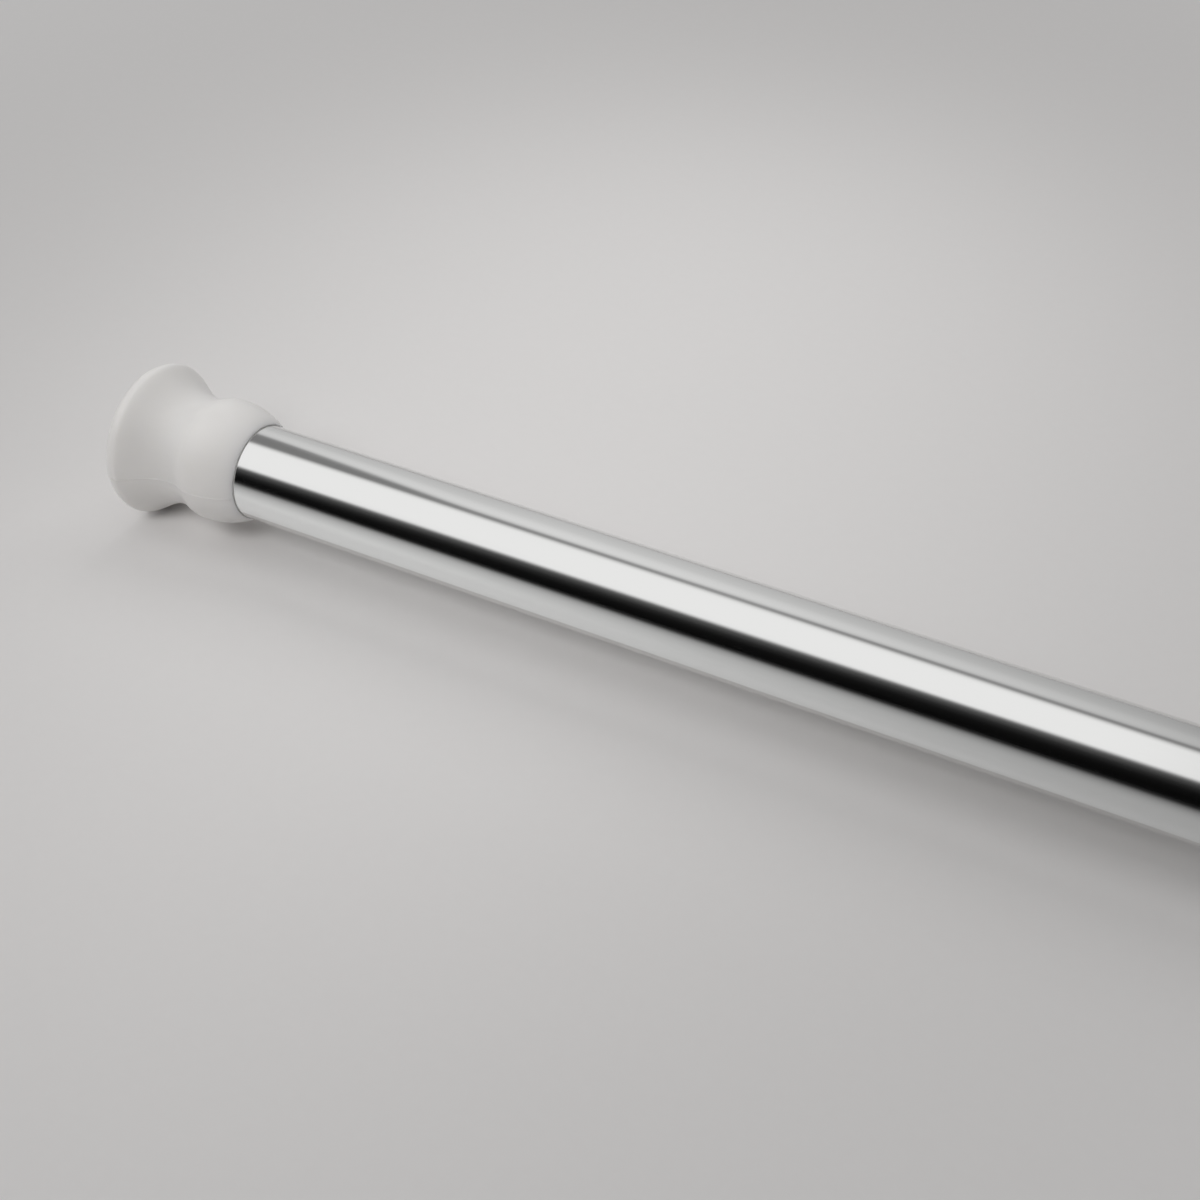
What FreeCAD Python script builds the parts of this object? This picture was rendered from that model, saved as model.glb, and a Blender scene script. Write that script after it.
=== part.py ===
import FreeCAD, Part
import math
import os

# Telescopic spring tension rod, wedged between two walls.
# The rod lies along +X. The origin is the middle of the wall face of the cap on the thick tube.
# Modelled at its shortest setting, with the spring at its installed length. Millimetres, +Z up.

# Chrome-plated steel tubes. The slim one slides in the thick one with a gap for the guide collar.
outer_tube_od = 25.0
outer_tube_wall = 0.7
outer_tube_length = 614.0
telescoping_gap = 0.8
inner_tube_wall = 0.7

# End caps, each one soft milky moulding pushed over its tube. Stations are from the wall face.
cap_length = 36.0
cap_socket_depth = 24.0
cap_floor = 5.0
cap_shoulder_width = 4.0
cap_flange_od = 40.6
cap_flange_station = 3.0
cap_face_drop = 1.3
cap_crest_reach = 1.8
cap_waist_height = 2.1
cap_waist_station = 16.3
cap_waist_reach = 6.5
cap_bead_height = 3.8
cap_bead_station = 24.5
cap_rim_wall = 0.4
cap_mouth_chamfer = 0.15

# Anti-slip grooves in the wall face of a cap
grip_groove_count = 2
grip_groove_width = 2.0
grip_groove_depth = 1.0
grip_centre_radius = 5.0
grip_land = 4.5

# Collar in the open end of the thick tube
collar_flange_od = 27.0
collar_flange_thickness = 3.0
collar_sleeve_length = 30.0
collar_edge_round = 1.0

# Spring, a closed-end compression spring of round steel wire
spring_wire = 1.8
spring_mean_diameter = 17.0
spring_active_coils = 7
spring_closed_coils = 1
spring_closed_gap = 0.2
spring_installed_length = 80.0
spring_travel = 30.0
closing_gap = 5.0

# Twist lock: an eccentric core that turns in a split ring with an eccentric bore.
# The setback is from the capped end of the thick tube to the front of the lock, at the shortest setting.
lock_setback = 31.4
lock_twist = 35.0
lock_slack = 0.07
cam_eccentricity = 0.8
cam_thin_wall = 2.2
cam_width = 10.0
cam_side_play = 0.3
cam_split_half_angle = 48.0
cam_groove_count = 3
cam_groove_pitch = 2.6
cam_groove_width = 1.2
cam_groove_depth = 0.5
spool_front_flange = 3.0
spool_rear_flange = 4.0
spool_flange_clearance = 0.6
spring_stem_length = 8.0
spring_stem_chamfer = 1.0

# Guide rod with two flats, and the push-on washers on its turned ends
rod_diameter = 7.0
rod_across_flats = 5.0
rod_end_relief = 0.2
rod_end_length = 4.0
rod_end_chamfer = 0.6
washer_od = 14.0
washer_thickness = 0.6
washer_tooth_length = 2.2
washer_tooth_rise = 0.8
washer_slot_count = 6
washer_slot_width = 0.8

# Plug in the inner end of the slim tube, held by a bead rolled into the tube
plug_flange_thickness = 4.0
plug_barrel_length = 22.0
plug_lead_in = 1.0
crimp_station = 11.0
crimp_half_width = 2.0
crimp_depth = 0.5

# Fits, all on the radius or along the rod
seat_clearance = 0.05
slide_clearance = 0.25
stop_clearance = 0.3

# Faces of the wire's section, which has the area of the round wire
WIRE_SIDES = 8
# Points on each turn of the spring's centre line
POINTS_PER_TURN = 12

X_AXIS = FreeCAD.Vector(1, 0, 0)
ORIGIN = FreeCAD.Vector(0, 0, 0)

# Radii worked out from the sizes above
outer_tube_radius = outer_tube_od / 2
outer_bore_radius = outer_tube_radius - outer_tube_wall
inner_tube_radius = outer_bore_radius - telescoping_gap
inner_bore_radius = inner_tube_radius - inner_tube_wall
bore_slider_radius = outer_bore_radius - slide_clearance
ring_bore_radius = bore_slider_radius - cam_thin_wall - cam_eccentricity
core_throw = 2 * cam_eccentricity * math.sin(math.radians(lock_twist) / 2)
core_radius = ring_bore_radius - core_throw - lock_slack
spring_stem_radius = (spring_mean_diameter - spring_wire) / 2 - slide_clearance
rod_end_radius = (rod_across_flats - rod_end_relief) / 2

# Stations along the rod, from the wall face at the origin
tube_seat = cap_length - cap_socket_depth
outer_tube_end = tube_seat + outer_tube_length
collar_start = outer_tube_end - collar_sleeve_length
collar_end = outer_tube_end + collar_flange_thickness
inner_tube_end = collar_end + spring_travel + closing_gap + cap_socket_depth
rod_length = inner_tube_end + tube_seat
spool_front = tube_seat + lock_setback
core_front = spool_front + spool_front_flange
core_rear = core_front + cam_width + 2 * cam_side_play
spool_rear = core_rear + spool_rear_flange
plug_front = spool_rear + spring_installed_length
inner_tube_start = plug_front + plug_flange_thickness
plug_rear = inner_tube_start + plug_barrel_length
rod_shoulder = plug_rear + stop_clearance


def at(x, radius):
    """Point of a half section, drawn in the XY plane with the rod's axis along X."""
    return FreeCAD.Vector(x, radius, 0)


def outline(points):
    """Closed straight-sided half section from (x, radius) pairs."""
    corners = [at(x, radius) for x, radius in points]
    return Part.makePolygon(corners + corners[:1])


def turned(wire):
    """Solid that a half section sweeps when it is turned once about the rod's axis."""
    return Part.Face(wire).revolve(ORIGIN, X_AXIS, 360)


def ring(x_start, x_end, inner_radius, outer_radius):
    """Plain ring between two stations."""
    return turned(outline([
        (x_start, inner_radius),
        (x_end, inner_radius),
        (x_end, outer_radius),
        (x_start, outer_radius),
    ]))


def disc(x_start, x_end, radius, height=0.0):
    """Solid cylinder along the rod, with its axis raised by height."""
    base = FreeCAD.Vector(x_start, 0, height)
    return Part.makeCylinder(radius, x_end - x_start, base, X_AXIS)


def two_flat_bar(x_start, x_end, allowance):
    """The guide rod's section, or a hole for it, larger by the allowance on every side."""
    half_flat = rod_across_flats / 2 + allowance
    bar = disc(x_start, x_end, rod_diameter / 2 + allowance)
    corner = FreeCAD.Vector(x_start, -rod_diameter, -half_flat)
    slab = Part.makeBox(x_end - x_start, 2 * rod_diameter, 2 * half_flat, corner)
    return bar.common(slab)


def end_cap(tube_radius):
    """Cap with its wall face at the origin: rounded flange, flare, waist, bead and tapered rim."""
    flange_radius = cap_flange_od / 2
    face_radius = flange_radius - cap_face_drop
    waist_radius = tube_radius + cap_waist_height
    bead_radius = tube_radius + cap_bead_height
    rim_radius = tube_radius + cap_rim_wall
    socket_radius = tube_radius + seat_clearance
    pocket_radius = tube_radius - cap_shoulder_width
    waist_to_bead = cap_bead_station - cap_waist_station
    bead_to_rim = cap_length - cap_bead_station

    # The flange's edge is an arc that is level at the crest, found from its chord
    edge_radius = (cap_flange_station ** 2 + cap_face_drop ** 2) / (2 * cap_face_drop)
    half_angle = math.asin(cap_flange_station / edge_radius) / 2
    edge_middle = at(
        cap_flange_station - edge_radius * math.sin(half_angle),
        flange_radius - edge_radius * (1 - math.cos(half_angle)),
    )
    edge = Part.Arc(at(0, face_radius), edge_middle, at(cap_flange_station, flange_radius))

    # Each curve is level where it meets the next, so the skin is smooth from crest to rim
    flare = Part.BezierCurve()
    flare.setPoles([
        at(cap_flange_station, flange_radius),
        at(cap_flange_station + cap_crest_reach, flange_radius),
        at(cap_waist_station - cap_waist_reach, waist_radius),
        at(cap_waist_station, waist_radius),
    ])
    swell = Part.BezierCurve()
    swell.setPoles([
        at(cap_waist_station, waist_radius),
        at(cap_waist_station + waist_to_bead / 2, waist_radius),
        at(cap_bead_station - waist_to_bead / 2, bead_radius),
        at(cap_bead_station, bead_radius),
    ])
    taper = Part.BezierCurve()
    taper.setPoles([
        at(cap_bead_station, bead_radius),
        at(cap_bead_station + bead_to_rim / 2, bead_radius),
        at(cap_length, rim_radius),
    ])

    inside = [
        at(cap_length, rim_radius),
        at(cap_length, socket_radius + cap_mouth_chamfer),
        at(cap_length - cap_mouth_chamfer, socket_radius),
        at(tube_seat, socket_radius),
        at(tube_seat, pocket_radius),
        at(cap_floor, pocket_radius),
        at(cap_floor, 0),
        at(0, 0),
        at(0, face_radius),
    ]
    curves = [edge.toShape(), flare.toShape(), swell.toShape(), taper.toShape()]
    lines = [Part.makeLine(start, end) for start, end in zip(inside, inside[1:])]
    cap = turned(Part.Wire(curves + lines))
    for index in range(grip_groove_count):
        groove_radius = grip_centre_radius + index * (grip_groove_width + grip_land)
        cap = cap.cut(ring(0, grip_groove_depth, groove_radius, groove_radius + grip_groove_width))
    return cap


def outer_end_cap():
    return end_cap(outer_tube_radius)


def inner_end_cap():
    """The same moulding for the slim tube, turned to face the other wall."""
    cap = end_cap(inner_tube_radius)
    cap.rotate(ORIGIN, FreeCAD.Vector(0, 0, 1), 180)
    cap.translate(FreeCAD.Vector(rod_length, 0, 0))
    return cap


def outer_tube():
    return ring(tube_seat, outer_tube_end, outer_bore_radius, outer_tube_radius)


def rolled_bead(radius):
    """Arc of the bead that is rolled inwards at the crimp, on a skin of the given radius."""
    middle = inner_tube_start + crimp_station
    start = at(middle - crimp_half_width, radius)
    end = at(middle + crimp_half_width, radius)
    return Part.Arc(start, at(middle, radius - crimp_depth), end).toShape()


def inner_tube():
    """Slim tube with the bead that holds the plug."""
    skins = []
    for radius in (inner_tube_radius, inner_bore_radius):
        bead = rolled_bead(radius)
        first, last = bead.Vertexes[0].Point, bead.Vertexes[-1].Point
        skins += [
            Part.makeLine(at(inner_tube_start, radius), first),
            bead,
            Part.makeLine(last, at(inner_tube_end, radius)),
        ]
    ends = [
        Part.makeLine(at(x, inner_bore_radius), at(x, inner_tube_radius))
        for x in (inner_tube_start, inner_tube_end)
    ]
    return turned(Part.Wire(Part.sortEdges(skins + ends)[0]))


def guide_collar():
    """Bush with a sleeve in the thick tube's bore and a flange over its end."""
    sleeve_radius = outer_bore_radius - seat_clearance
    bore_radius = inner_tube_radius + slide_clearance
    flange_radius = collar_flange_od / 2
    return turned(outline([
        (collar_start, bore_radius),
        (collar_end, bore_radius),
        (collar_end, flange_radius - collar_edge_round),
        (collar_end - collar_edge_round, flange_radius),
        (outer_tube_end, flange_radius),
        (outer_tube_end, sleeve_radius),
        (collar_start, sleeve_radius),
    ]))


def cam_ring():
    """Split ring with grip grooves, thickest below, with the split through its thin side above."""
    start = core_front + cam_side_play
    end = start + cam_width
    body = disc(start, end, bore_slider_radius)
    for index in range(cam_groove_count):
        middle = (start + end) / 2 + (index - (cam_groove_count - 1) / 2) * cam_groove_pitch
        body = body.cut(ring(
            middle - cam_groove_width / 2,
            middle + cam_groove_width / 2,
            bore_slider_radius - cam_groove_depth,
            outer_tube_radius,
        ))
    bore = disc(start, end, ring_bore_radius, cam_eccentricity)
    reach = 2 * outer_tube_radius
    side = reach * math.tan(math.radians(cam_split_half_angle))
    tip = FreeCAD.Vector(start, 0, cam_eccentricity)
    left = FreeCAD.Vector(start, -side, cam_eccentricity + reach)
    right = FreeCAD.Vector(start, side, cam_eccentricity + reach)
    split = Part.Face(Part.makePolygon([tip, left, right, tip])).extrude(X_AXIS * cam_width)
    return body.cut(bore.fuse(split))


def stub(base, tip, radius, chamfer):
    """Solid cylinder along the rod from its base to its tip, chamfered at the tip."""
    toward = math.copysign(chamfer, tip - base)
    return turned(outline([
        (base, 0),
        (tip, 0),
        (tip, radius - chamfer),
        (tip - toward, radius),
        (base, radius),
    ]))


def spring_stem(base, tip):
    """Stub that centres an end of the spring."""
    return stub(base, tip, spring_stem_radius, spring_stem_chamfer)


def lock_spool():
    """Spool whose core is off centre, between two flanges, with a stem for the spring."""
    flange_radius = outer_bore_radius - spool_flange_clearance
    front = disc(spool_front, core_front, flange_radius)
    core = disc(core_front, core_rear, core_radius, cam_eccentricity)
    rear = disc(core_rear, spool_rear, flange_radius)
    stem_tip = spool_rear + spring_stem_length
    spool = front.multiFuse([core, rear, spring_stem(spool_rear, stem_tip)])
    return spool.cut(two_flat_bar(spool_front, stem_tip, seat_clearance))


def guide_rod():
    """Bar with two flats from the spool's front to behind the plug, with turned ends."""
    bar = two_flat_bar(spool_front, rod_shoulder, 0)
    front_end = stub(spool_front, spool_front - rod_end_length, rod_end_radius, rod_end_chamfer)
    tail_end = stub(rod_shoulder, rod_shoulder + rod_end_length, rod_end_radius, rod_end_chamfer)
    return bar.multiFuse([front_end, tail_end])


def retaining_washer(seat, outward):
    """Push-on washer with its flat rim at the seat and its teeth leaning outward along the rod."""
    tooth_tip = rod_end_radius + seat_clearance
    tooth_root = tooth_tip + washer_tooth_length
    rim_face = seat + outward * washer_thickness
    rise = outward * washer_tooth_rise
    washer = turned(outline([
        (seat, tooth_root),
        (seat, washer_od / 2),
        (rim_face, washer_od / 2),
        (rim_face, tooth_root),
        (rim_face + rise, tooth_tip),
        (seat + rise, tooth_tip),
    ]))
    low = min(seat, rim_face + rise)
    depth = washer_thickness + washer_tooth_rise
    for index in range(washer_slot_count):
        corner = FreeCAD.Vector(low, 0, -washer_slot_width / 2)
        slot = Part.makeBox(depth, tooth_root, washer_slot_width, corner)
        slot.rotate(ORIGIN, X_AXIS, index * 360 / washer_slot_count)
        washer = washer.cut(slot)
    return washer


def retaining_washers():
    return Part.makeCompound([retaining_washer(spool_front, -1), retaining_washer(rod_shoulder, 1)])


def spring_plug():
    """Plug with a sliding flange, a stem for the spring and a barrel that is grooved for the crimp."""
    flange = disc(plug_front, inner_tube_start, bore_slider_radius)
    barrel_radius = inner_bore_radius - seat_clearance
    groove = rolled_bead(barrel_radius)
    first, last = groove.Vertexes[0].Point, groove.Vertexes[-1].Point
    corners = [
        last,
        at(plug_rear - plug_lead_in, barrel_radius),
        at(plug_rear, barrel_radius - plug_lead_in),
        at(plug_rear, 0),
        at(inner_tube_start, 0),
        at(inner_tube_start, barrel_radius),
        first,
    ]
    sides = [Part.makeLine(start, end) for start, end in zip(corners, corners[1:])]
    barrel = turned(Part.Wire(Part.sortEdges([groove] + sides)[0]))
    stem_tip = plug_front - spring_stem_length
    plug = flange.multiFuse([barrel, spring_stem(plug_front, stem_tip)])
    return plug.cut(two_flat_bar(stem_tip, plug_rear, slide_clearance))


def spring():
    """Coil whose pitch is close at both ends and open between, swept with a flat-sided wire."""
    coil_radius = spring_mean_diameter / 2
    closed_pitch = spring_wire + spring_closed_gap
    closed_rise = spring_closed_coils * closed_pitch
    open_rise = spring_installed_length - spring_wire - 2 * closed_rise
    open_pitch = open_rise / spring_active_coils
    turns = spring_active_coils + 2 * spring_closed_coils
    points = []
    for index in range(turns * POINTS_PER_TURN + 1):
        turn = index / POINTS_PER_TURN
        closed_turns = min(turn, spring_closed_coils)
        closed_turns += max(0, turn - spring_closed_coils - spring_active_coils)
        rise = closed_turns * closed_pitch + (turn - closed_turns) * open_pitch
        angle = 2 * math.pi * turn
        points.append(FreeCAD.Vector(
            spool_rear + spring_wire / 2 + rise,
            coil_radius * math.cos(angle),
            coil_radius * math.sin(angle),
        ))
    centre_line = Part.BSplineCurve()
    centre_line.interpolate(points)

    # Corner radius that gives the many-sided section the round wire's area
    sector = 2 * math.pi / WIRE_SIDES
    corner_radius = spring_wire / 2 * math.sqrt(sector / math.sin(sector))
    corners = []
    for index in range(WIRE_SIDES):
        angle = (index + 0.5) * sector
        corners.append(points[0] + FreeCAD.Vector(
            corner_radius * math.cos(angle), corner_radius * math.sin(angle), 0
        ))
    sweep = Part.BRepOffsetAPI.MakePipeShell(Part.Wire(centre_line.toShape()))
    sweep.setBiNormalMode(X_AXIS)
    sweep.add(Part.makePolygon(corners + corners[:1]))
    sweep.build()
    sweep.makeSolid()
    return sweep.shape()


os.makedirs("parts", exist_ok=True)
NODES = [
    outer_tube,
    outer_end_cap,
    guide_collar,
    cam_ring,
    lock_spool,
    guide_rod,
    retaining_washers,
    spring,
    spring_plug,
    inner_tube,
    inner_end_cap,
]
for make_node in NODES:
    make_node().exportStep(f"parts/{make_node.__name__}.step")
extension = collar_start - inner_tube_start
print(f"length {rod_length:.1f} mm, extension up to {extension:.1f} mm")
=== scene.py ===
import math
import bmesh
import bpy
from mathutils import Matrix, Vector


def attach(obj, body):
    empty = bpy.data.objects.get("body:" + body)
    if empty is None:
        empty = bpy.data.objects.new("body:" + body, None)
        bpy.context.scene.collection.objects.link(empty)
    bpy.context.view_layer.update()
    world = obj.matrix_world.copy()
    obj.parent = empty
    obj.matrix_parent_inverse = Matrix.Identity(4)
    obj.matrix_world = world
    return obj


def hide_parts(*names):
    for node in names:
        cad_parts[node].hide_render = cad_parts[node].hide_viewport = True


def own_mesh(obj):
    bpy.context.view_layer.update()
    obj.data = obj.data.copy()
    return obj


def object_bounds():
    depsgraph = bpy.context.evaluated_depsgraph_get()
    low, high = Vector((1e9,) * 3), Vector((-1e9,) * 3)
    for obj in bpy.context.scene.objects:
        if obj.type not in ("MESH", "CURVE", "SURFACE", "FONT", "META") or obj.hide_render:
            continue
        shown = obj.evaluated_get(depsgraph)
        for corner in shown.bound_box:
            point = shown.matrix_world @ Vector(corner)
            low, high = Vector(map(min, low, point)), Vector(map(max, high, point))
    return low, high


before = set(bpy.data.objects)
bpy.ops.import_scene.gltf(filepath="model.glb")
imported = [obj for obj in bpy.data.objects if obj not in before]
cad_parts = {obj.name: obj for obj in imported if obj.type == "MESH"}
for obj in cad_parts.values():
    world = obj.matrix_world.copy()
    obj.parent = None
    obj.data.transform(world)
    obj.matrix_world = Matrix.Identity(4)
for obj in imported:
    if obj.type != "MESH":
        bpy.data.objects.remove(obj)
cad_low, cad_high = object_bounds()

# Thick tube
# Welded steel tube, drawn to size, polished and chrome plated, cut square at both ends.
# Its ends are hidden: one in the cap's socket, the other behind the flange of the guide collar.
MM = 0.001
tube_facets = 192
tube_edge_break = 0.15 * MM
corner_steps = 4
corner_limit = 0.4
hold_share = 1.2
sharp_angle = math.radians(40)
chrome_colour = "#e7e7e6"
chrome_roughness = {"To Min": 0.08, "To Max": 0.13}
hairline_length = 40 * MM
hairline_width = 0.5 * MM
hairline_depth = 0.004 * MM
ripple_length = 60 * MM
ripple_width = 7 * MM
ripple_depth = 0.05 * MM
# Most of a noise lies between these values.
noise_span = {"From Min": 0.3, "From Max": 0.7}


def spread(node):
    """Start, end, least and greatest radius of a CAD node about the rod's axis."""
    places = [vertex.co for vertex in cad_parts[node].data.vertices]
    stations = [place.x for place in places]
    radii = [math.hypot(place.y, place.z) for place in places]
    return min(stations), max(stations), min(radii), max(radii)


def between(start, end, share):
    """Point at a share of the way from one point of an outline to another."""
    return tuple(a + share * (b - a) for a, b in zip(start, end))


def curve(poles, count):
    """Points of a Bezier curve at even steps, without its last point."""
    degree = len(poles) - 1
    points = []
    for step in range(count):
        along = step / count
        weights = [
            math.comb(degree, order) * (1 - along) ** (degree - order) * along ** order
            for order in range(degree + 1)
        ]
        points.append(tuple(
            sum(weight * pole[axis] for weight, pole in zip(weights, poles)) for axis in (0, 1)
        ))
    return points


def eased(outline, radius, steps=corner_steps):
    """The closed outline with its corners rounded by short curves.

    A curve takes no more than corner_limit of a side. A point just past each of its ends, at hold_share
    of its reach, keeps the shading of the straight stretches true.
    """
    points = []
    for index, corner in enumerate(outline):
        sides = []
        for other in (outline[index - 1], outline[(index + 1) % len(outline)]):
            length = math.dist(corner, other)
            share = min(radius, corner_limit * length) / length
            sides.append((between(corner, other, share), between(corner, other, hold_share * share)))
        (start, start_hold), (end, end_hold) = sides
        points += [start_hold] + curve([start, corner, end], steps) + [end, end_hold]
    return points


def placed(name, data):
    """Object with this mesh, lamp or camera, put in the scene."""
    thing = bpy.data.objects.new(name, data)
    bpy.context.scene.collection.objects.link(thing)
    return thing


def finished(name, mesh):
    """Piece with this mesh, its faces turned outwards and smooth between sharp edges."""
    bmesh.ops.recalc_face_normals(mesh, faces=mesh.faces)
    data = bpy.data.meshes.new(name)
    mesh.to_mesh(data)
    mesh.free()
    data.shade_smooth()
    data.set_sharp_from_angle(angle=sharp_angle)
    return placed(name, data)


def full_turn(count):
    """Angles of evenly spaced facets round the rod."""
    return [2 * math.pi * step / count for step in range(count)]


def turned(name, outline, angles, relief=None):
    """Piece made by turning a closed outline of (x, radius) points about the rod's axis.

    Angles start at the front, -Y, and go up. Relief gives what is added to the radius, from the
    number of the outline's point and the angle.
    """
    mesh = bmesh.new()
    rings = []
    for index, (x, radius) in enumerate(outline):
        if radius == 0.0:
            rings.append([mesh.verts.new((x, 0.0, 0.0))])
            continue
        ring = []
        for angle in angles:
            reach = radius + (relief(index, angle) if relief else 0.0)
            ring.append(mesh.verts.new((x, -reach * math.cos(angle), reach * math.sin(angle))))
        rings.append(ring)
    for index, ring in enumerate(rings):
        following = rings[(index + 1) % len(rings)]
        for side in range(len(angles)):
            onward = (side + 1) % len(angles)
            corners = []
            for loop, place in ((ring, side), (ring, onward), (following, onward), (following, side)):
                corner = loop[place % len(loop)]
                if corner not in corners:
                    corners.append(corner)
            if len(corners) > 2:
                mesh.faces.new(corners)
    return finished(name, mesh)


def dress(piece, material, body, node):
    """Gives a piece its finish, the body that it rides on and the CAD node that it stands for."""
    piece.data.materials.append(material)
    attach(piece, body)
    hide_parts(node)


def colour(code):
    """Linear colour of an sRGB hex value."""
    shares = [int(code[start:start + 2], 16) / 255 for start in (1, 3, 5)]
    linear = [s / 12.92 if s <= 0.04045 else ((s + 0.055) / 1.055) ** 2.4 for s in shares]
    return (*linear, 1.0)


def new_material(name):
    """Material with no nodes yet."""
    material = bpy.data.materials.new(name)
    material.use_nodes = True
    material.node_tree.nodes.clear()
    return material


def add_node(owner, kind, settings, links):
    """Adds a shader node to a material or the world.

    Settings are its own properties, the values of its sockets or the grey stops of a ramp. Links are
    the outputs that feed its sockets.
    """
    node = owner.node_tree.nodes.new(kind)
    for name, value in settings.items():
        if name == "stops":
            ramp = node.color_ramp.elements
            for index, (place, level) in enumerate(value):
                stop = ramp[index] if index < 2 else ramp.new(1.0)
                stop.position = place
                stop.color = (level, level, level, 1.0)
        elif isinstance(name, str) and hasattr(node, name):
            setattr(node, name, value)
        else:
            node.inputs[name].default_value = value
    for name, source in links.items():
        owner.node_tree.links.new(source, node.inputs[name])
    return node


# Bright chrome over polished steel mirrors the room, with faint lengthwise hairlines from the
# polishing belt and a slow ripple from the drawn tube, which bend the edges of what it mirrors.
# The hairlines are drawn wider than real ones, so that they show.
chrome = new_material("chrome_plate_polished")
chrome_place = add_node(chrome, "ShaderNodeTexCoord", {}, {})
hairline_grid = add_node(
    chrome, "ShaderNodeMapping",
    {"Scale": (1 / hairline_length, 1 / hairline_width, 1 / hairline_width)},
    {"Vector": chrome_place.outputs["Object"]},
)
hairlines = add_node(
    chrome, "ShaderNodeTexNoise", {"Scale": 1.0, "Detail": 4.0, "Roughness": 0.6},
    {"Vector": hairline_grid.outputs["Vector"]},
)
ripple_grid = add_node(
    chrome, "ShaderNodeMapping",
    {"Scale": (1 / ripple_length, 1 / ripple_width, 1 / ripple_width)},
    {"Vector": chrome_place.outputs["Object"]},
)
ripple = add_node(
    chrome, "ShaderNodeTexNoise", {"Scale": 1.0, "Detail": 1.0},
    {"Vector": ripple_grid.outputs["Vector"]},
)
chrome_gloss = add_node(
    chrome, "ShaderNodeMapRange", {**noise_span, **chrome_roughness},
    {"Value": hairlines.outputs["Fac"]},
)
ripple_bump = add_node(
    chrome, "ShaderNodeBump", {"Strength": 0.25, "Distance": ripple_depth},
    {"Height": ripple.outputs["Fac"]},
)
hairline_bump = add_node(
    chrome, "ShaderNodeBump", {"Strength": 0.08, "Distance": hairline_depth},
    {"Height": hairlines.outputs["Fac"], "Normal": ripple_bump.outputs["Normal"]},
)
chrome_shader = add_node(
    chrome, "ShaderNodeBsdfPrincipled", {"Base Color": colour(chrome_colour), "Metallic": 1.0},
    {"Roughness": chrome_gloss.outputs["Result"], "Normal": hairline_bump.outputs["Normal"]},
)
add_node(chrome, "ShaderNodeOutputMaterial", {}, {"Surface": chrome_shader.outputs["BSDF"]})

thick_start, thick_end, thick_bore, thick_radius = spread("outer_tube")
thick_outline = eased([
    (thick_start, thick_bore),
    (thick_end, thick_bore),
    (thick_end, thick_radius),
    (thick_start, thick_radius),
], tube_edge_break)
thick_tube = turned("thick_tube", thick_outline, full_turn(tube_facets))
dress(thick_tube, chrome, "outer_rod", "outer_tube")

# End cap of the thick tube
# One soft polyethylene moulding in its natural milky state, pushed over the tube's end as far as
# the shoulder inside. A two-part mould leaves a fine parting line down its front and its back.
flange_station = 3.0 * MM
flange_drop = 1.3 * MM
flange_steps = 12
crest_reach = 1.8 * MM
flare_steps = 36
waist_station = 16.3 * MM
waist_height = 2.1 * MM
waist_reach = 6.5 * MM
waist_steps = 24
bead_station = 24.5 * MM
bead_height = 3.8 * MM
bead_steps = 30
rim_wall = 0.4 * MM
rim_round = 0.08 * MM
rim_steps = 3
mouth_chamfer = 0.06 * MM
seat_clearance = 0.05 * MM
socket_depth = 24.0 * MM
cap_floor = 5.0 * MM
shoulder_width = 4.0 * MM
groove_edges = (5.0 * MM, 7.0 * MM, 11.5 * MM, 13.5 * MM)
groove_depth = 1.0 * MM
groove_round = 0.3 * MM
cap_facets = 180
parting_height = 0.17 * MM
parting_half_width = 0.15 * MM
parting_turn = math.radians(-4)
# The cap has more facets across a parting line, at these places in half widths.
parting_facets = (-2.0, -1.4, -0.9, -0.45, 0.45, 0.9, 1.4, 2.0)
milky_low_colour = "#e1dfdd"
milky_high_colour = "#e7e5e3"
milky_cloud = 14 * MM
milky_scatter = 3.0 * MM
milky_roughness = {"To Min": 0.3, "To Max": 0.38}
moulded_grain = 1.2 * MM
moulded_depth = 0.03 * MM
# A Mix node has sockets of the same name for numbers and colours. These are the ones for colours.
mix_share = 0
mix_low = 6
mix_high = 7
mix_result = 2


def cap_skin(tube_radius, cap_length, flange_radius):
    """Outside of a cap from the edge of its wall face to its rim.

    It has a rounded flange, a flare down to the waist, a rise to the bead and a fall to the rim.
    """
    waist = tube_radius + waist_height
    bead = tube_radius + bead_height
    half_rise = (bead_station - waist_station) / 2
    bead_reach = (cap_length - bead_station) / 2
    edge_radius = (flange_station ** 2 + flange_drop ** 2) / (2 * flange_drop)
    edge_turn = math.asin(flange_station / edge_radius)
    skin = []
    for step in range(flange_steps):
        turn = edge_turn * (1 - step / flange_steps)
        skin.append((
            flange_station - edge_radius * math.sin(turn),
            flange_radius - edge_radius * (1 - math.cos(turn)),
        ))
    skin += curve([
        (flange_station, flange_radius),
        (flange_station + crest_reach, flange_radius),
        (waist_station - waist_reach, waist),
        (waist_station, waist),
    ], flare_steps)
    skin += curve([
        (waist_station, waist),
        (waist_station + half_rise, waist),
        (bead_station - half_rise, bead),
        (bead_station, bead),
    ], waist_steps)
    skin += curve([
        (bead_station, bead),
        (bead_station + bead_reach, bead),
        (cap_length, tube_radius + rim_wall),
    ], bead_steps)
    return skin


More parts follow.
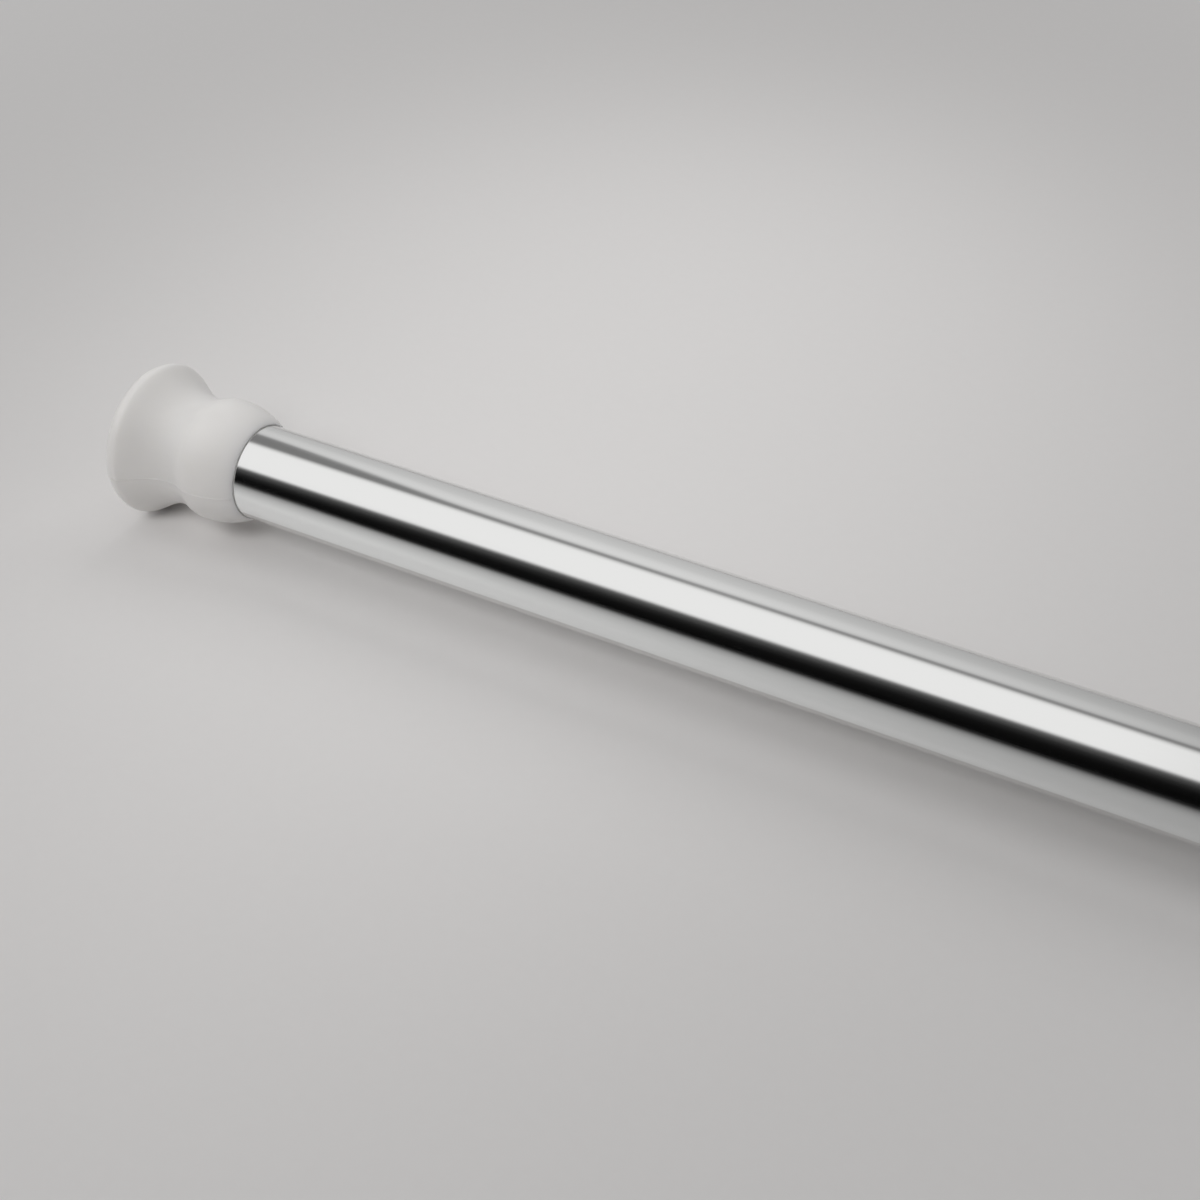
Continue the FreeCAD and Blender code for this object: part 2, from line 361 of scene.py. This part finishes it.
def cap_piece(name, node, tube_radius):
    """Cap with its wall face at the origin, open towards the tube."""
    start, end, _, flange_radius = spread(node)
    length = end - start
    skin = cap_skin(tube_radius, length, flange_radius)
    socket = tube_radius + seat_clearance
    pocket = tube_radius - shoulder_width
    seat = length - socket_depth
    inside = eased([
        (length, tube_radius + rim_wall),
        (length, socket + mouth_chamfer),
        (length - mouth_chamfer, socket),
        (seat, socket),
        (seat, pocket),
        (cap_floor, pocket),
    ], rim_round, rim_steps)
    grooves = []
    for low, high in zip(groove_edges[::2], groove_edges[1::2]):
        grooves += [(0.0, low), (groove_depth, low), (groove_depth, high), (0.0, high)]
    outline = skin + inside + [(cap_floor, 0.0), (0.0, 0.0)] + eased(grooves, groove_round)
    angles = full_turn(cap_facets)
    for line in (parting_turn, parting_turn + math.pi):
        for share in parting_facets:
            angles.append((line + share * parting_half_width / flange_radius) % (2 * math.pi))

    def parting_line(index, angle):
        if index >= len(skin):
            return 0.0
        away = abs(math.sin(angle - parting_turn)) * skin[index][1] / parting_half_width
        return parting_height * math.exp(-away ** 2)

    return turned(name, outline, sorted(angles), parting_line)


# Natural polyethylene lets light in a few millimetres and scatters it, so its shading is soft.
# The mould's fine blasted surface keeps its gloss low and a little uneven. That grain is drawn
# coarser than the real one, so that it shows.
milky = new_material("polyethylene_natural_moulded")
milky_place = add_node(milky, "ShaderNodeTexCoord", {}, {})
milky_grain = add_node(
    milky, "ShaderNodeTexNoise", {"Scale": 1 / moulded_grain, "Detail": 3.0, "Roughness": 0.55},
    {"Vector": milky_place.outputs["Object"]},
)
milky_depth = add_node(
    milky, "ShaderNodeTexNoise", {"Scale": 1 / milky_cloud, "Detail": 2.0},
    {"Vector": milky_place.outputs["Object"]},
)
milky_tone = add_node(
    milky, "ShaderNodeMix",
    {"data_type": "RGBA", mix_low: colour(milky_low_colour), mix_high: colour(milky_high_colour)},
    {mix_share: milky_depth.outputs["Fac"]},
)
milky_gloss = add_node(
    milky, "ShaderNodeMapRange", {**noise_span, **milky_roughness},
    {"Value": milky_grain.outputs["Fac"]},
)
milky_bump = add_node(
    milky, "ShaderNodeBump", {"Strength": 0.12, "Distance": moulded_depth},
    {"Height": milky_grain.outputs["Fac"]},
)
milky_shader = add_node(
    milky, "ShaderNodeBsdfPrincipled",
    {
        "IOR": 1.51,
        "Subsurface Weight": 0.8,
        "Subsurface Radius": (1.0, 1.0, 0.95),
        "Subsurface Scale": milky_scatter,
    },
    {
        "Base Color": milky_tone.outputs[mix_result],
        "Roughness": milky_gloss.outputs["Result"],
        "Normal": milky_bump.outputs["Normal"],
    },
)
add_node(milky, "ShaderNodeOutputMaterial", {}, {"Surface": milky_shader.outputs["BSDF"]})

thick_cap = cap_piece("thick_tube_cap", "outer_end_cap", thick_radius)
dress(thick_cap, milky, "outer_rod", "outer_end_cap")

# Guide collar
# White polypropylene bush with a thin sleeve pressed into the thick tube's bore. Its flange covers
# the cut end of the tube, and its bore guides the slim tube.
collar_round = 0.5 * MM
collar_facets = 144
collar_colour = "#e6e6e4"
collar_scatter = 1.0 * MM
collar_roughness = {"To Min": 0.36, "To Max": 0.46}
collar_grain = 0.6 * MM
collar_grain_depth = 0.02 * MM

# White polypropylene is even in tone and soft in its shadows, with a dull sheen that the texture of
# the mould breaks up. The texture is drawn coarser than the real one, so that it shows.
white_plastic = new_material("polypropylene_white_moulded")
white_place = add_node(white_plastic, "ShaderNodeTexCoord", {}, {})
white_grain = add_node(
    white_plastic, "ShaderNodeTexNoise", {"Scale": 1 / collar_grain, "Detail": 3.0},
    {"Vector": white_place.outputs["Object"]},
)
white_gloss = add_node(
    white_plastic, "ShaderNodeMapRange", {**noise_span, **collar_roughness},
    {"Value": white_grain.outputs["Fac"]},
)
white_bump = add_node(
    white_plastic, "ShaderNodeBump", {"Strength": 0.1, "Distance": collar_grain_depth},
    {"Height": white_grain.outputs["Fac"]},
)
white_shader = add_node(
    white_plastic, "ShaderNodeBsdfPrincipled",
    {
        "Base Color": colour(collar_colour),
        "IOR": 1.49,
        "Subsurface Weight": 0.25,
        "Subsurface Radius": (1.0, 1.0, 0.95),
        "Subsurface Scale": collar_scatter,
    },
    {"Roughness": white_gloss.outputs["Result"], "Normal": white_bump.outputs["Normal"]},
)
add_node(white_plastic, "ShaderNodeOutputMaterial", {}, {"Surface": white_shader.outputs["BSDF"]})

collar_start, collar_end, collar_bore, collar_radius = spread("guide_collar")
sleeve_radius = thick_bore - seat_clearance
collar_outline = eased([
    (collar_start, collar_bore),
    (collar_end, collar_bore),
    (collar_end, collar_radius - collar_round),
    (collar_end - collar_round, collar_radius),
    (thick_end, collar_radius),
    (thick_end, sleeve_radius),
    (collar_start, sleeve_radius),
], collar_round)
collar = turned("guide_collar_bush", collar_outline, full_turn(collar_facets))
dress(collar, white_plastic, "outer_rod", "guide_collar")

# Twist lock
# A split ring of natural nylon grips the tube's bore when the spool's off-centre core turns in it.
# Ring, spool and the plug at the far end of the spring are moulded from the same nylon.
nylon_low_colour = "#d8d1c0"
nylon_high_colour = "#e2dccd"
nylon_scatter = 1.0 * MM
nylon_grain = 0.8 * MM
nylon_grain_depth = 0.02 * MM

# Natural nylon is a warm white, cloudy from the way it flowed into the mould, with a dull sheen.
# The clouds and the grain that goes with them are drawn coarse enough to show.
nylon = new_material("nylon_natural_moulded")
nylon_place = add_node(nylon, "ShaderNodeTexCoord", {}, {})
nylon_flow = add_node(
    nylon, "ShaderNodeTexNoise", {"Scale": 1 / nylon_grain, "Detail": 3.0},
    {"Vector": nylon_place.outputs["Object"]},
)
nylon_tone = add_node(
    nylon, "ShaderNodeMix",
    {"data_type": "RGBA", mix_low: colour(nylon_low_colour), mix_high: colour(nylon_high_colour)},
    {mix_share: nylon_flow.outputs["Fac"]},
)
nylon_bump = add_node(
    nylon, "ShaderNodeBump", {"Strength": 0.1, "Distance": nylon_grain_depth},
    {"Height": nylon_flow.outputs["Fac"]},
)
nylon_shader = add_node(
    nylon, "ShaderNodeBsdfPrincipled",
    {"IOR": 1.53, "Roughness": 0.42, "Subsurface Weight": 0.2, "Subsurface Scale": nylon_scatter},
    {"Base Color": nylon_tone.outputs[mix_result], "Normal": nylon_bump.outputs["Normal"]},
)
add_node(nylon, "ShaderNodeOutputMaterial", {}, {"Surface": nylon_shader.outputs["BSDF"]})


def finish_node(node, material):
    """Gives its finish to a CAD node that stays as it is."""
    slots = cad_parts[node].data.materials
    slots.clear()
    slots.append(material)


finish_node("cam_ring", nylon)
finish_node("lock_spool", nylon)

# Guide rod and its washers
# Drawn steel rod with two milled flats, so that the spool turns with the slim tube. A push-on washer
# of spring steel bites on each turned end and takes the spring's pull.
drawn_colour = "#9b9b99"
drawn_roughness = {"To Min": 0.25, "To Max": 0.4}
die_mark_length = 12 * MM
die_mark_width = 0.15 * MM
spring_low_colour = "#565452"
spring_high_colour = "#6d6c6a"
spring_roughness = {"To Min": 0.3, "To Max": 0.45}
oil_stain = 5 * MM

# Bright drawn steel is a mid-grey metal. The marks of the die run along it and streak its sheen.
# They are drawn wider than real ones.
drawn_steel = new_material("steel_drawn_bright")
drawn_place = add_node(drawn_steel, "ShaderNodeTexCoord", {}, {})
drawn_grid = add_node(
    drawn_steel, "ShaderNodeMapping",
    {"Scale": (1 / die_mark_length, 1 / die_mark_width, 1 / die_mark_width)},
    {"Vector": drawn_place.outputs["Object"]},
)
drawn_lines = add_node(
    drawn_steel, "ShaderNodeTexNoise", {"Scale": 1.0, "Detail": 3.0},
    {"Vector": drawn_grid.outputs["Vector"]},
)
drawn_gloss = add_node(
    drawn_steel, "ShaderNodeMapRange", {**noise_span, **drawn_roughness},
    {"Value": drawn_lines.outputs["Fac"]},
)
drawn_shader = add_node(
    drawn_steel, "ShaderNodeBsdfPrincipled", {"Base Color": colour(drawn_colour), "Metallic": 1.0},
    {"Roughness": drawn_gloss.outputs["Result"]},
)
add_node(drawn_steel, "ShaderNodeOutputMaterial", {}, {"Surface": drawn_shader.outputs["BSDF"]})

# Oil-tempered spring steel is a dark grey metal. The oil stains it in patches, which differ in tone
# and in sheen.
spring_steel = new_material("spring_steel_oil_tempered")
spring_place = add_node(spring_steel, "ShaderNodeTexCoord", {}, {})
spring_stain = add_node(
    spring_steel, "ShaderNodeTexNoise", {"Scale": 1 / oil_stain, "Detail": 4.0},
    {"Vector": spring_place.outputs["Object"]},
)
spring_tone = add_node(
    spring_steel, "ShaderNodeMix",
    {"data_type": "RGBA", mix_low: colour(spring_low_colour), mix_high: colour(spring_high_colour)},
    {mix_share: spring_stain.outputs["Fac"]},
)
spring_gloss = add_node(
    spring_steel, "ShaderNodeMapRange", {**noise_span, **spring_roughness},
    {"Value": spring_stain.outputs["Fac"]},
)
spring_shader = add_node(
    spring_steel, "ShaderNodeBsdfPrincipled", {"Metallic": 1.0},
    {"Base Color": spring_tone.outputs[mix_result], "Roughness": spring_gloss.outputs["Result"]},
)
add_node(spring_steel, "ShaderNodeOutputMaterial", {}, {"Surface": spring_shader.outputs["BSDF"]})

finish_node("guide_rod", drawn_steel)
finish_node("retaining_washers", spring_steel)

# Spring
# Compression spring coiled from round oil-tempered wire, with a closed coil at each end. It pushes
# the lock and the slim tube's plug apart, and shortens when the rod is pushed in.
wire_radius = 0.9 * MM
wire_sides = 12
active_coils = 7
closed_coils = 1
closed_pitch = 2.0 * MM
coil_steps = 48


def coil_piece(name, start, end, coil_radius):
    """Round wire wound about the rod's axis, close at both ends and open between."""
    turns = active_coils + 2 * closed_coils
    open_pitch = (end - start - 2 * wire_radius - 2 * closed_coils * closed_pitch) / active_coils
    along = Vector((1, 0, 0))
    mesh = bmesh.new()
    rings = []
    for step in range(turns * coil_steps + 1):
        turn = step / coil_steps
        closed = min(turn, closed_coils) + max(0, turn - closed_coils - active_coils)
        x = start + wire_radius + closed * closed_pitch + (turn - closed) * open_pitch
        angle = 2 * math.pi * turn
        outward = Vector((0, math.cos(angle), math.sin(angle)))
        centre = along * x + outward * coil_radius
        ring = []
        for around in full_turn(wire_sides):
            offset = outward * math.cos(around) + along * math.sin(around)
            ring.append(mesh.verts.new(centre + offset * wire_radius))
        rings.append(ring)
    for first, second in zip(rings, rings[1:]):
        for side in range(wire_sides):
            onward = (side + 1) % wire_sides
            mesh.faces.new((first[side], first[onward], second[onward], second[side]))
    mesh.faces.new(rings[0])
    mesh.faces.new(rings[-1])
    return finished(name, mesh)


spring_start, spring_end, _, spring_reach = spread("spring")
coil = coil_piece("coil_spring", spring_start, spring_end, spring_reach - wire_radius)
dress(coil, spring_steel, "lock", "spring")
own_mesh(coil)

# Spring plug
# Nylon plug in the inner end of the slim tube. Its flange slides in the thick tube and stops at the
# collar, and the tube is rolled into the groove round its barrel.
finish_node("spring_plug", nylon)

# Slim tube
# Welded steel tube like the thick one, chrome plated, with a bead rolled inwards near its inner end
# that holds the plug. Its outer end is pushed into the second cap.
crimp_station = 11.0 * MM
crimp_half_width = 2.0 * MM
crimp_depth = 0.5 * MM
crimp_steps = 16


def rolled_bead(middle, radius):
    """Points of a smooth dip in a tube's skin, as the crimping wheel leaves it, and one at each side."""
    points = []
    for step in range(-1, crimp_steps + 2):
        place = 2 * step / crimp_steps - 1
        dip = crimp_depth * (1 + math.cos(math.pi * max(-1, min(1, place)))) / 2
        points.append((middle + place * crimp_half_width, radius - dip))
    return points


slim_start, slim_end, _, slim_radius = spread("inner_tube")
slim_bore = slim_radius - (thick_radius - thick_bore)
crimp_middle = slim_start + crimp_station
slim_ends = eased([
    (slim_end, slim_bore),
    (slim_end, slim_radius),
    (slim_start, slim_radius),
    (slim_start, slim_bore),
], tube_edge_break)
half = len(slim_ends) // 2
slim_outline = (
    slim_ends[:half] + rolled_bead(crimp_middle, slim_radius)[::-1]
    + slim_ends[half:] + rolled_bead(crimp_middle, slim_bore)
)
slim_tube = turned("slim_tube", slim_outline, full_turn(tube_facets))
dress(slim_tube, chrome, "inner_rod", "inner_tube")

# End cap of the slim tube
# The same polyethylene moulding with a smaller socket, turned round to face the other wall. It is
# pushed over the slim tube's end as far as its shoulder.
slim_cap = cap_piece("slim_tube_cap", "inner_end_cap", slim_radius)
_, rod_end, _, _ = spread("inner_end_cap")
for vertex in slim_cap.data.vertices:
    vertex.co = (rod_end - vertex.co.x, -vertex.co.y, vertex.co.z)
dress(slim_cap, milky, "inner_rod", "inner_end_cap")

# Floor
# A wide sheet of pale grey paper, laid flat and level. The rod lies on it on the edges of its caps'
# flanges, which are the lowest points of the CAD model.
floor_height = cad_low.z
floor_half = 6.0
paper_low_colour = "#dad8d7"
paper_high_colour = "#dcdad9"
paper_grain = 3 * MM
patch_middle = (0.08, 0.11, floor_height)
patch_reach = (0.295, 0.36, 1.0)
glow_colour = "#ffffff"
glow_spread = {"From Min": 0.55, "From Max": 1.5}
glow_level = 0.12


def flat_sheet(name, low, high, height):
    """Level sheet between two of its corners."""
    data = bpy.data.meshes.new(name)
    corners = [(low[0], low[1]), (high[0], low[1]), (high[0], high[1]), (low[0], high[1])]
    data.from_pydata([(x, y, height) for x, y in corners], [], [(0, 1, 2, 3)])
    return placed(name, data)


# Uncoated paper is matt and even, with a faint mottle from its fibres, which is drawn coarser than
# real fibres so that it shows.
paper = new_material("paper_pale_matt")
paper_place = add_node(paper, "ShaderNodeTexCoord", {}, {})
paper_noise = add_node(
    paper, "ShaderNodeTexNoise", {"Scale": 1 / paper_grain, "Detail": 4.0},
    {"Vector": paper_place.outputs["Object"]},
)
paper_tone = add_node(
    paper, "ShaderNodeMix",
    {"data_type": "RGBA", mix_low: colour(paper_low_colour), mix_high: colour(paper_high_colour)},
    {mix_share: paper_noise.outputs["Fac"]},
)
# A lamp lights an oval patch at the near end. Round it the paper glows a little, for the camera and in
# what the rod mirrors, which keeps the floor's tone even without more light on the rod.
patch_grid = add_node(
    paper, "ShaderNodeMapping",
    {"vector_type": "TEXTURE", "Location": patch_middle, "Scale": patch_reach},
    {"Vector": paper_place.outputs["Object"]},
)
patch_share = add_node(
    paper, "ShaderNodeVectorMath", {"operation": "LENGTH"}, {0: patch_grid.outputs["Vector"]}
)
glow_share = add_node(
    paper, "ShaderNodeMapRange",
    {"interpolation_type": "SMOOTHSTEP", **glow_spread, "To Max": glow_level},
    {"Value": patch_share.outputs["Value"]},
)
paper_ray = add_node(paper, "ShaderNodeLightPath", {}, {})
paper_seen = add_node(
    paper, "ShaderNodeMath", {"operation": "MAXIMUM"},
    {0: paper_ray.outputs["Is Camera Ray"], 1: paper_ray.outputs["Is Glossy Ray"]},
)
paper_glow = add_node(
    paper, "ShaderNodeMath", {"operation": "MULTIPLY"},
    {0: glow_share.outputs["Result"], 1: paper_seen.outputs["Value"]},
)
paper_shader = add_node(
    paper, "ShaderNodeBsdfPrincipled",
    {"Roughness": 0.9, "Specular IOR Level": 0.2, "Emission Color": colour(glow_colour)},
    {"Base Color": paper_tone.outputs[mix_result], "Emission Strength": paper_glow.outputs["Value"]},
)
add_node(paper, "ShaderNodeOutputMaterial", {}, {"Surface": paper_shader.outputs["BSDF"]})

floor = flat_sheet("floor", (-floor_half, -floor_half), (floor_half, floor_half), floor_height)
floor.data.materials.append(paper)

# Studio light
# A long softbox hangs over the rod, the room in front is dark and the wall behind is pale. What the rod
# mirrors depends on the angle about it, in degrees from the front horizon at 0 over the top to the back.
half_turn = 180
softbox_level = 0.99
front_levels = [
    (6, 0.003), (18, 0.006), (27, 0.022), (36, 0.085),
    (39.2, 0.22), (42, 0.6), (44.3, 0.92), (46.5, 1.0),
]
softbox_levels = [(94, 1.0), (98, 0.97), (101, 0.88), (104, 0.62), (107, 0.36), (110, 0.22)]
wall_levels = [
    (108, 0.24), (112, 0.36), (115, 0.61), (118, 0.78),
    (123, 0.84), (133, 0.81), (147, 0.69), (180, 0.57),
]
# The softbox hangs askew, so its front edge climbs towards the far end of the rod, and the wall leaves a
# wider gap at the near end. Each lean is in degrees, at two shares of a ray that run along the rod.
front_lean = [(-0.6, 8.7), (0.0, -8.2)]
softbox_lean = [(-0.54, 4.0), (-0.36, 0.0)]
wall_lean = [(-0.545, -18.5), (-0.46, 1.0)]
# The wall and the whole room fade along the rod.
wall_fade = [
    (0.07, 0.84), (0.16, 0.945), (0.26, 1.0), (0.36, 0.97), (0.47, 0.89), (0.69, 0.725), (1.0, 0.5),
]
wall_fade_span = {"From Min": -0.6, "From Max": 0.1}
room_fade_span = {"From Min": -0.12, "From Max": 0.1}
room_fade = {"To Min": softbox_level, "To Max": 0.5 * softbox_level}
backdrop_level = 0.62

world = bpy.data.worlds.new("studio")
bpy.context.scene.world = world
world.use_nodes = True
world.node_tree.nodes.clear()
ray = add_node(world, "ShaderNodeTexCoord", {}, {})
ray_parts = add_node(world, "ShaderNodeSeparateXYZ", {}, {"Vector": ray.outputs["Generated"]})
frontward = add_node(
    world, "ShaderNodeMath", {"operation": "MULTIPLY", 1: -1.0}, {0: ray_parts.outputs["Y"]}
)
ray_angle = add_node(
    world, "ShaderNodeMath", {"operation": "ARCTAN2"},
    {0: ray_parts.outputs["Z"], 1: frontward.outputs["Value"]},
)
half_turns = add_node(
    world, "ShaderNodeMath", {"operation": "DIVIDE", 1: math.pi}, {0: ray_angle.outputs["Value"]}
)


def room_band(levels, lean):
    """Brightness by the angle about the rod, for a band of the room that leans."""
    (near, near_lean), (far, far_lean) = lean
    leaning = add_node(
        world, "ShaderNodeMapRange",
        {
            "From Min": near,
            "From Max": far,
            "To Min": near_lean / half_turn,
            "To Max": far_lean / half_turn,
        },
        {"Value": ray_parts.outputs["X"]},
    )
    place = add_node(
        world, "ShaderNodeMath", {"operation": "ADD"},
        {0: half_turns.outputs["Value"], 1: leaning.outputs["Result"]},
    )
    stops = [(angle / half_turn, level) for angle, level in levels]
    return add_node(world, "ShaderNodeValToRGB", {"stops": stops}, {"Fac": place.outputs["Value"]})


front_room = room_band(front_levels, front_lean)
softbox = room_band(softbox_levels, softbox_lean)
wall = room_band(wall_levels, wall_lean)
wall_share = add_node(
    world, "ShaderNodeMapRange", wall_fade_span, {"Value": ray_parts.outputs["X"]}
)
wall_strength = add_node(
    world, "ShaderNodeValToRGB", {"stops": wall_fade}, {"Fac": wall_share.outputs["Result"]}
)
faded_wall = add_node(
    world, "ShaderNodeMath", {"operation": "MULTIPLY"},
    {0: wall.outputs["Color"], 1: wall_strength.outputs["Color"]},
)
above = add_node(
    world, "ShaderNodeMath", {"operation": "MAXIMUM"},
    {0: softbox.outputs["Color"], 1: faded_wall.outputs["Value"]},
)
room = add_node(
    world, "ShaderNodeMath", {"operation": "MULTIPLY"},
    {0: above.outputs["Value"], 1: front_room.outputs["Color"]},
)
room_strength = add_node(
    world, "ShaderNodeMapRange", {**room_fade_span, **room_fade}, {"Value": ray_parts.outputs["X"]}
)
room_light = add_node(
    world, "ShaderNodeBackground", {},
    {"Color": room.outputs["Value"], "Strength": room_strength.outputs["Result"]},
)
backdrop = add_node(
    world, "ShaderNodeBackground", {"Color": (backdrop_level, backdrop_level, backdrop_level, 1.0)}, {}
)
light_path = add_node(world, "ShaderNodeLightPath", {}, {})
seen = add_node(
    world, "ShaderNodeMixShader", {},
    {
        0: light_path.outputs["Is Camera Ray"],
        1: room_light.outputs["Background"],
        2: backdrop.outputs["Background"],
    },
)
add_node(world, "ShaderNodeOutputWorld", {}, {"Surface": seen.outputs["Shader"]})

# A card lies on the floor in front, where only mirrored rays meet it. Its tones are a painted
# reflection, pale beside the rod as painted light and dark further out as painted shade. Its tones lean,
# so that the rod mirrors less of the dark at the near end.
card_near = -10 * MM
card_lift = 1 * MM
card_reach = 0.4
card_lean = -0.105
# Painted reflection for the chrome, from painted shade far out to painted light beside the rod.
card_painted_reflection_levels = [
    (0.0, 0.03), (0.3, 0.1), (0.5, 0.19), (0.64, 0.36), (0.79, 0.6),
    (0.848, 0.7), (0.88, 0.8), (0.9, 0.88), (0.96, 0.92),
]

card_paper = new_material("card_painted_reflection_matt")
card_place = add_node(card_paper, "ShaderNodeTexCoord", {}, {})
card_parts = add_node(card_paper, "ShaderNodeSeparateXYZ", {}, {"Vector": card_place.outputs["Object"]})
card_depth = add_node(
    card_paper, "ShaderNodeMath", {"operation": "MULTIPLY_ADD", 1: card_lean},
    {0: card_parts.outputs["X"], 2: card_parts.outputs["Y"]},
)
card_share = add_node(
    card_paper, "ShaderNodeMapRange", {"From Min": -card_reach, "From Max": 0.0},
    {"Value": card_depth.outputs["Value"]},
)
card_painted_reflection = add_node(
    card_paper, "ShaderNodeValToRGB", {"stops": card_painted_reflection_levels}, {"Fac": card_share.outputs["Result"]}
)
card_shader = add_node(card_paper, "ShaderNodeBsdfDiffuse", {}, {"Color": card_painted_reflection.outputs["Color"]})
add_node(card_paper, "ShaderNodeOutputMaterial", {}, {"Surface": card_shader.outputs["BSDF"]})

card_height = floor_height + card_lift
card = flat_sheet("painted_reflection_card", (-floor_half, -floor_half), (floor_half, card_near), card_height)
card.data.materials.append(card_paper)
card.visible_camera = False
card.visible_diffuse = False
card.visible_shadow = False


def hang_lamp(name, kind, place, aim, power):
    """Lamp that lights matt surfaces and that nothing mirrors."""
    data = bpy.data.lights.new(name, kind)
    data.energy = power
    lamp = placed(name, data)
    lamp.location = place
    lamp.rotation_mode = "QUATERNION"
    lamp.rotation_quaternion = (aim - place).to_track_quat("-Z", "Y")
    lamp.visible_camera = False
    lamp.visible_glossy = False
    return data


# A soft spot from the front lifts the shadow at the near end, and two more light the far half of the rod
# and its end. Each has its place, the point that it is aimed at, its power and its cone in degrees.
spot_softness = 0.15
spots = {
    "front_spot": (Vector((0.08, -0.50, 0.55)), Vector((0.08, 0.02, 0.0)), 9.6, 40),
    "far_spot": (Vector((0.95, -0.60, 1.00)), Vector((0.85, 0.05, 0.0)), 12.0, 49),
    "end_spot": (Vector((1.60, -0.30, 0.95)), Vector((0.85, 0.00, 0.0)), 12.0, 36),
}
for name, (place, aim, power, cone) in spots.items():
    spot = hang_lamp(name, "SPOT", place, aim, power)
    spot.spot_size = math.radians(cone)
    spot.spot_blend = 1.0
    spot.shadow_soft_size = spot_softness

# A small panel brightens the floor behind the near end. A weak one under the first cap stands for the
# light that the milky plastic lets through to the floor. Each has its place, aim, power and size.
under_cap = Vector((14 * MM, 0.0, floor_height))
cap_glow_lift = Vector((0.0, 0.0, 4 * MM))
panels = {
    "back_lamp": (Vector((0.05, 0.22, 0.25)), Vector((0.05, 0.10, 0.0)), 0.22, 0.2),
    "cap_glow": (under_cap + cap_glow_lift, under_cap, 0.0002, 20 * MM),
}
for name, (place, aim, power, size) in panels.items():
    panel = hang_lamp(name, "AREA", place, aim, power)
    panel.size = size

# Camera
# Looks down along the rod from its front, over the thick tube, to the first cap, as in the photograph.
# Its place and angles fit the tube's two edges and the cap's outline there.
camera_place = Vector((323.64, -336.41, 290.11)) * MM
camera_azimuth = math.radians(29.099)
camera_elevation = math.radians(37.438)
camera_data = bpy.data.cameras.new("camera")
camera_data.sensor_width = 36.0
camera_data.lens = 60.0
camera_data.clip_start = 10 * MM
camera = placed("camera", camera_data)
camera.location = camera_place
towards_camera = Vector((
    math.sin(camera_azimuth) * math.cos(camera_elevation),
    -math.cos(camera_azimuth) * math.cos(camera_elevation),
    math.sin(camera_elevation),
))
camera.rotation_mode = "QUATERNION"
camera.rotation_quaternion = (-towards_camera).to_track_quat("-Z", "Y")
bpy.context.scene.camera = camera
bpy.context.scene.view_settings.view_transform = "Standard"
